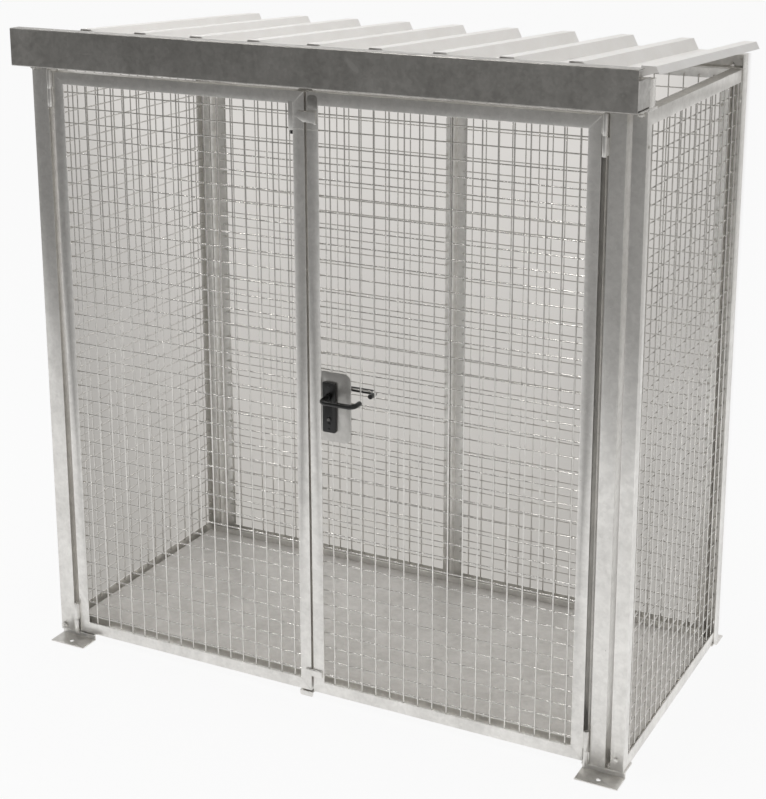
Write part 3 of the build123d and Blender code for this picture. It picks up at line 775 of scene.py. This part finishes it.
def board_bolt(x):
    """A vertical bolt through the board's lower flange, with a washer and two nuts under it."""
    under = Vector((x, front_high.y - 15 * MM, front_low.z))
    shape = bmesh.new()
    hexagon(shape, under + UP * BOARD_SHEET, UP, 19 * MM, 7 * MM)
    plate(shape, under + Vector((-16 * MM, -13 * MM, -BOARD_WASHER)),
          under + Vector((16 * MM, 13 * MM, 0.2 * MM)))
    hexagon(shape, under + DOWN * BOARD_WASHER, DOWN, 18 * MM, 7 * MM)
    hexagon(shape, under + DOWN * 11.5 * MM, DOWN, 17 * MM, 6.5 * MM)
    roll_edges(shape, 1.0 * MM)
    thread(shape, under, DOWN, BOARD_BOLT_RADIUS, BOARD_BOLT_LENGTH)
    return set_piece(f"board_bolt_{'right' if x > 0 else 'left'}", shape, "structure",
                     "galvanised_steel", zinc_plate)


for x in (front_low.x + 18 * MM, front_high.x - 18 * MM):
    print("board bolt:", len(board_bolt(x).data.polygons), "faces")

# %% [markdown]
# ## Bolts at the corners
# A front corner has a nut on a bolt's end in the foot, a bolt's head low on the post, and three
# low heads on the side. The store is the same after half a turn, so the rear corner across from
# it has the same set, made once more and turned about the upright axis.

# %% Bolts at two corners
post_low, post_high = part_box("front_post_left")
half_width = front_high.x
SIDE_HEADS = ((0.428, 0.110), (0.428, 1.930), (-0.470, 1.930))


def corner_bolts(side):
    """The bolts of the front right corner, or of the rear left one, which is its copy turned."""
    shape = bmesh.new()
    seat = post_low.z
    nut = Vector((half_width - 54 * MM, post_low.y + 16 * MM, seat))
    tube(shape, nut, nut + UP * 1.6 * MM, 7.6 * MM, 24)
    hexagon(shape, nut + UP * 1.6 * MM, UP, 12.5 * MM, 6.5 * MM)
    head = Vector((half_width - 28 * MM, post_low.y, seat + 38 * MM))
    tube(shape, head, head + FORE * 1.2 * MM, 7.5 * MM, 24)
    hexagon(shape, head + FORE * 1.2 * MM, FORE, 13 * MM, 5 * MM)
    for y, z in SIDE_HEADS:
        hexagon(shape, Vector((half_width - 4 * MM, y, z)), TO_RIGHT, 10 * MM, 3.2 * MM)
    roll_edges(shape, 0.8 * MM)
    thread(shape, nut + UP * 8 * MM, UP, 3.9 * MM, 6 * MM, pitch=1.25 * MM)
    if side == "rear":
        half_turn = Matrix.Rotation(math.pi, 3, "Z")
        bmesh.ops.rotate(shape, verts=shape.verts, cent=(0, 0, 0), matrix=half_turn)
    return set_piece(side + "_corner_bolts", shape, "structure", "galvanised_steel", zinc_plate)


for side in ("front", "rear"):
    print(side, "corner bolts:", len(corner_bolts(side).data.polygons), "faces")

# %% [markdown]
# ## Nuts at the feet of the posts
# The front left post, and the rear right one across from it, have a large nut and a bolt's end
# low on the outer face. The store is the same after half a turn, so one place is the other with
# its x and y reversed.

# %% Nuts at the feet of two posts
FOOT_NUT_HEIGHT = 0.037
FOOT_BOLT_RADIUS, FOOT_BOLT_LENGTH = 5.8 * MM, 10.5 * MM

foot_nuts = bmesh.new()
nut_places = [(Vector((-sign * (half_width - 14.5 * MM), sign * post_low.y, FOOT_NUT_HEIGHT)),
               FORE * sign) for sign in (1, -1)]
for spot, out in nut_places:
    hexagon(foot_nuts, spot, out, 22 * MM, 6 * MM)
    tube(foot_nuts, spot + out * 6 * MM, spot + out * 7.5 * MM, 8 * MM, 28)
roll_edges(foot_nuts, 1.0 * MM)
for spot, out in nut_places:
    thread(foot_nuts, spot, out, FOOT_BOLT_RADIUS, FOOT_BOLT_LENGTH)
set_piece("post_foot_nuts", foot_nuts, "structure", "galvanised_steel", zinc_plate)
print("foot nuts at x", [round(spot.x, 3) for spot, out in nut_places])

# %% [markdown]
# ## Bolts on the rear beam
# Each end of the rear beam has a nut on a bolt's end inside the channel, and one more bolt
# through its rear face.

# %% Bolts on the rear beam
rear_low, rear_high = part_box("rear_beam")
beam = bmesh.new()
seats = [Vector((sign * (rear_high.x - 38 * MM), rear_low.y + 18 * MM, rear_low.z + 4 * MM))
         for sign in (1, -1)]
for sign, seat in zip((1, -1), seats):
    hexagon(beam, seat, UP, 17 * MM, 9 * MM)
    inside = Vector((sign * (rear_high.x - 16 * MM), rear_high.y - 4 * MM, rear_high.z - 14 * MM))
    hexagon(beam, inside, FORE, 13 * MM, 7 * MM)
    hexagon(beam, inside + AFT * 4 * MM, AFT, 13 * MM, 5 * MM)
roll_edges(beam, 0.9 * MM)
for seat in seats:
    thread(beam, seat + UP * 9 * MM, UP, 4.8 * MM, 6 * MM, pitch=1.5 * MM)
set_piece("rear_beam_bolts", beam, "structure", "galvanised_steel", zinc_plate)
print("rear beam bolts at x", round(rear_high.x - 38 * MM, 3), "and", round(rear_high.x - 16 * MM, 3))

# %% [markdown]
# ## Beam ends
# The two roof beams are folded channels, and a thin plate is welded over each open end. From the
# front right the end of the front beam shows as one pale upright strip beside the board.

# %% Close the ends of the roof beams
END_PLATE = 3 * MM

ends = bmesh.new()
for node in ("front_beam", "rear_beam"):
    low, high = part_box(node)
    for x0, x1 in ((low.x - END_PLATE, low.x), (high.x, high.x + END_PLATE)):
        plate(ends, Vector((x0, low.y, low.z)), Vector((x1, high.y, high.z)))
roll_edges(ends, 0.7 * MM)
set_piece("beam_end_plates", ends, "structure", "galvanised_steel", zinc_plate)
print("beam end plates: 4")

# %% [markdown]
# ## Runs and pimples in the zinc
# As a frame is lifted from the bath, zinc runs down it and freezes in small ridges and pimples.
# They are a few millimetres long and stand up by less than one. A seeded random generator puts
# them on the posts and the stiles, so they are in the same place each time.

# %% Scatter runs of zinc on the upright faces
RUNS = 14
EDGE_GAP, FACE_WIDTH = 4 * MM, 36 * MM
dice = random.Random(11)


def zinc_runs(node, count):
    """Small frozen runs on the front or rear face of an upright node."""
    low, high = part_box(node)
    rear = low.y > 0
    face = high.y if rear else low.y
    if "left" in node:
        x_range = (low.x + EDGE_GAP, low.x + FACE_WIDTH)
    else:
        x_range = (high.x - FACE_WIDTH, high.x - EDGE_GAP)
    shape = bmesh.new()
    for _ in range(count):
        spot = Vector((dice.uniform(*x_range), face, dice.uniform(low.z + 0.05, high.z - 0.05)))
        length = dice.uniform(1.2, 5.0) * MM
        drop(shape, spot, Vector((dice.uniform(0.7, 1.3) * MM, 0.55 * MM, length)))
    return set_piece(node + "_zinc_runs", shape, *body_and_slot(node), zinc_plate)


for name in ("front_post_left", "front_post_right", "rear_post_left", "rear_post_right",
             "left_door_frame", "right_door_frame", "rear_left_frame", "rear_right_frame"):
    zinc_runs(name, RUNS)
print("zinc runs:", RUNS, "on each of 8 uprights")

# %% [markdown]
# ## Floor and painted shade
# The store stands on a plain white floor. Through its mesh a soft grey ground shows, and there is
# white everywhere round it. So the floor has a patch of painted shade under and behind the store,
# a grey that is lighter with distance and darker near the patch's edges, and the rest is white.
# The patch's edges are straight lines on the floor, each given by the direction across it and an
# offset in metres, and the smallest distance to any of them tells how far inside a point is. The
# floor shows its own colour to the camera, to mirrors and to glass, and the lamp adds the rest, so
# the store's soft shadow stays on it.

# %% Helpers for the stage
def flat_card(name, corners, finish):
    """A flat sheet of the studio, from its four corners."""
    mesh = bpy.data.meshes.new(name)
    mesh.from_pydata([Vector(c) for c in corners], [], [(0, 1, 2, 3)])
    mesh.materials.append(finish)
    card = bpy.data.objects.new(name, mesh)
    bpy.context.scene.collection.objects.link(card)
    return card


def level_sheet(x0, x1, y0, y1, z):
    """The corners of a level sheet."""
    return [(x0, y0, z), (x1, y0, z), (x1, y1, z), (x0, y1, z)]


def seen_directly(tree):
    """1 for rays from the camera, from a mirror or through glass, and 0 for the others."""
    path = add(tree, "LightPath")
    both = add(tree, "Math", {"operation": "MAXIMUM"}, i0=path.outputs["Is Camera Ray"],
               i1=path.outputs["Is Glossy Ray"]).outputs[0]
    return add(tree, "Math", {"operation": "MAXIMUM"}, i0=both,
               i1=path.outputs["Is Transmission Ray"]).outputs[0]


print("a sheet has", len(level_sheet(0, 1, 0, 1, 0)), "corners")

# %% Lay the floor
FLOOR_REACH = 30.0
# The edges of the patch of painted shade: the direction across each, and its offset in metres.
SHADE_PATCH_EDGES = ((-0.9665, -0.2571, 1.153), (0.7745, 0.6327, 1.123), (0.0, 1.0, 0.40),
             (-1.0, 0.0, 1.03), (0.453, -0.891, 15.9))
SHADE_PATCH_SOFTNESS = 90 * MM
OWN_COLOUR_SHARE = 0.9


def floor_finish():
    """White floor with a patch of painted grey shade in it, which still takes the store's shadow."""
    finish, tree, shader, place = new_finish("studio_floor_and_painted_shade")
    inside = FLOOR_REACH
    for across_x, across_y, offset in SHADE_PATCH_EDGES:
        along = add(tree, "VectorMath", {"operation": "DOT_PRODUCT"}, i0=place,
                    i1=(across_x, across_y, 0)).outputs["Value"]
        away = add(tree, "Math", {"operation": "ADD"}, i0=along, i1=offset).outputs[0]
        inside = add(tree, "Math", {"operation": "MINIMUM"}, i0=away, i1=inside).outputs[0]
    # Where the patch of painted shade lies: 0 outside it, 1 a little inside its edges.
    painted_floor_shade = add(tree, "MapRange", {"interpolation_type": "SMOOTHSTEP"}, Value=inside,
              From_Min=0.0, From_Max=SHADE_PATCH_SOFTNESS)
    # Painted shade: a grey that is darkest near the store and lighter with distance.
    depth = add(tree, "SeparateXYZ", Vector=place).outputs["Y"]
    far = add(tree, "MapRange", Value=depth, From_Min=0.4, From_Max=9.0)
    grey = add(tree, "ValToRGB", {"stops": [(0.0, "#C4C1BC"), (0.3, "#CBC8C4"), (0.7, "#D8D5D1"),
                                            (1.0, "#DEDBD7")]}, Fac=far.outputs["Result"])
    # More painted shade, darker near the patch's edges.
    rim = add(tree, "MapRange", Value=inside, From_Min=0.2, From_Max=1.0, To_Min=0.8)
    shaded = add(tree, "VectorMath", {"operation": "SCALE"}, i0=grey.outputs["Color"],
                 Scale=rim.outputs["Result"]).outputs["Vector"]
    colour = add(tree, "Mix", {"data_type": "RGBA"}, i0=painted_floor_shade.outputs["Result"],
                 i6=(1, 1, 1, 1), i7=shaded).outputs[2]
    tree.links.new(colour, shader.inputs["Base Color"])
    shader.inputs["Roughness"].default_value = 0.9
    shader.inputs["Specular IOR Level"].default_value = 0.0
    glow = add(tree, "Emission", Color=colour, Strength=1.0).outputs["Emission"]
    share = add(tree, "Math", {"operation": "MULTIPLY"}, i0=seen_directly(tree),
                i1=OWN_COLOUR_SHARE).outputs[0]
    mixed = add(tree, "MixShader", i0=share, i1=shader.outputs[0], i2=glow)
    tree.links.new(mixed.outputs[0], tree.nodes["Material Output"].inputs["Surface"])
    return finish


flat_card("studio_floor", level_sheet(-FLOOR_REACH, FLOOR_REACH, -FLOOR_REACH, FLOOR_REACH,
                                      -1 * MM), floor_finish())
print("floor of", 2 * FLOOR_REACH, "m with a mat of", len(SHADE_PATCH_EDGES), "edges")

# %% [markdown]
# ## Cards for the metal to mirror
# Metal shows what stands around it, so a photographer sets large cards round a metal product.
# The cards here are seen only in reflections. A dark one in front is what the upper half of the
# doors mirrors, while the lower half mirrors the white floor before it, so the doors get paler
# towards the ground. Grey ones stand beside and behind, and a ceiling hangs over them, dim in
# front and brighter over the store. Two narrow bright ones hang in front of the store: a level
# wire glints only where it faces one of them, so each draws bright dashes on one door.

# %% Set up the cards
def card_finish(name, axis, start, end, first, last):
    """A glow that changes along one axis, from its first strength to its last."""
    finish = bpy.data.materials.new(name)
    finish.use_nodes = True
    tree = finish.node_tree
    tree.nodes.remove(tree.nodes["Principled BSDF"])
    place = add(tree, "SeparateXYZ", Vector=add(tree, "TexCoord").outputs["Object"])
    strength = add(tree, "MapRange", Value=place.outputs[axis], From_Min=start, From_Max=end,
                   To_Min=first, To_Max=last).outputs["Result"]
    glow = add(tree, "Emission", Color=(1, 0.99, 0.975, 1), Strength=strength)
    tree.links.new(glow.outputs[0], tree.nodes["Material Output"].inputs["Surface"])
    return finish


def upright(x0, y0, x1, y1, z0, z1):
    """The corners of an upright card over a line on the floor."""
    return [(x0, y0, z0), (x1, y1, z0), (x1, y1, z1), (x0, y0, z1)]


CEILING, GLINT_HEIGHT = 5.2, 4.8
FRONT, BACK, LEFT, RIGHT = -3.65, 3.6, -4.5, 2.4
# For each card: its corners, the axis that its strength follows, where the change starts and
# ends on that axis, and the strength before and after it.
cards = {
    "front": (upright(-7, FRONT, 7, FRONT, 0, CEILING), "X", -4.0, 0.0, 0.15, 0.25),
    "right": (upright(RIGHT, FRONT, RIGHT, 7, 0.6, CEILING), "Y", 0.0, 1.0, 0.52, 0.52),
    "left": (upright(LEFT, FRONT, LEFT, 7, 0.6, CEILING), "Y", -3.0, -1.0, 0.15, 0.55),
    "back": (upright(LEFT, BACK, 4, BACK, 0.3, CEILING), "X", 0.0, 1.0, 0.85, 0.85),
    "ceiling": (level_sheet(-7, 7, -7, 7, CEILING), "Y", -0.9, -0.3, 0.40, 1.2),
    "left_glint": (level_sheet(-2.52, -2.2, -2.2, -1.2, GLINT_HEIGHT), "Y", 0.0, 1.0, 18, 18),
    "right_glint": (level_sheet(-0.62, -0.1, -2.2, -1.2, GLINT_HEIGHT), "Y", 0.0, 1.0, 18, 18),
}
for side, (corners, *glow) in cards.items():
    card = flat_card(side + "_card", corners, card_finish(side + "_card_glow", *glow))
    card.visible_camera = False
    card.visible_diffuse = False
    card.visible_shadow = False
    card.visible_transmission = False
    print(side, "card, strength", glow[-2], "to", glow[-1])

# %% [markdown]
# ## Sky and lamp
# The world is white where it is seen, and gives the store an even fill light at about half of
# that. One wide softbox over the store lights its roof. It is kept out of reflections, because
# the cards give those.

# %% Light the store
world = bpy.data.worlds.new("studio")
bpy.context.scene.world = world
world.use_nodes = True
sky = world.node_tree
FILL = 0.55
level = add(sky, "MapRange", Value=seen_directly(sky), To_Min=FILL, To_Max=1.0)
sky.links.new(level.outputs["Result"], sky.nodes["Background"].inputs["Strength"])
sky.nodes["Background"].inputs["Color"].default_value = (1, 1, 1, 1)

lamp = bpy.data.lights.new("overhead_softbox", "AREA")
lamp.shape = "RECTANGLE"
lamp.size, lamp.size_y = 4.0, 3.0
lamp.energy = 50
softbox = bpy.data.objects.new("overhead_softbox", lamp)
softbox.location = (-0.8, -0.6, 5.0)
softbox.visible_glossy = False
bpy.context.scene.collection.objects.link(softbox)
print("overhead softbox of", lamp.energy, "W, fill", FILL)

# %% [markdown]
# ## The camera
# The photograph was taken from the front right, a little above the roof. Its place, its angles
# and its focal length in pixels come from a fit to the doors' own 50 mm mesh, so the render
# lines up with the photograph.

# %% Place the camera
IMAGE = (766, 799)
FOCAL_PIXELS = 1674.9
CENTRE_PIXEL = (395.6, 256.5)
lens = bpy.data.cameras.new("photo_camera")
lens.sensor_fit = "HORIZONTAL"
lens.sensor_width = 36
lens.lens = FOCAL_PIXELS / IMAGE[0] * lens.sensor_width
lens.shift_x = -(CENTRE_PIXEL[0] - IMAGE[0] / 2) / IMAGE[0]
lens.shift_y = (CENTRE_PIXEL[1] - IMAGE[1] / 2) / IMAGE[0]
lens.clip_end = 100
camera = bpy.data.objects.new("photo_camera", lens)
camera.location = (2.4716, -4.8008, 2.7769)
camera.rotation_euler = Euler((math.pi / 2 - 0.2508, 0, 0.4705))
bpy.context.scene.collection.objects.link(camera)
bpy.context.scene.camera = camera
bpy.context.scene.view_settings.view_transform = "Standard"
print("lens", round(lens.lens, 2), "mm, shift", round(lens.shift_x, 4), round(lens.shift_y, 4))
